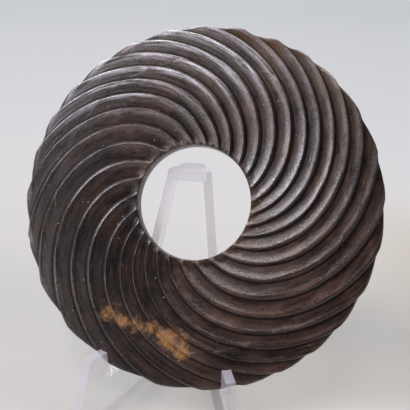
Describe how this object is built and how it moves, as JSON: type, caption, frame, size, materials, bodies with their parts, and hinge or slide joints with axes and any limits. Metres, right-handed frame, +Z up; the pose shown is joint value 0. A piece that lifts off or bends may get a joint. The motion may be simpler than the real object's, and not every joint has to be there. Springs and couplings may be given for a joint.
{
  "type": "carved stone disc on a display easel",
  "caption": "Bi disc of dark jade, both faces and the rim carved with concave flutes that spiral out from a central hole, resting on a clear acrylic easel",
  "frame": {"origin": "on the table, in the middle of the footprint", "axes": "+Z up, the carved disc's face looks towards -Y and leans back towards +Y, +X to the right"},
  "size_m": [0.1294, 0.0814, 0.1296],
  "materials": {
    "dark_jade": "polished and worn",
    "clear_acrylic": "gloss"
  },
  "bodies": {
    "root": {"jade_disc": "dark_jade", "acrylic_easel": "clear_acrylic"}
  },
  "joints": []
}
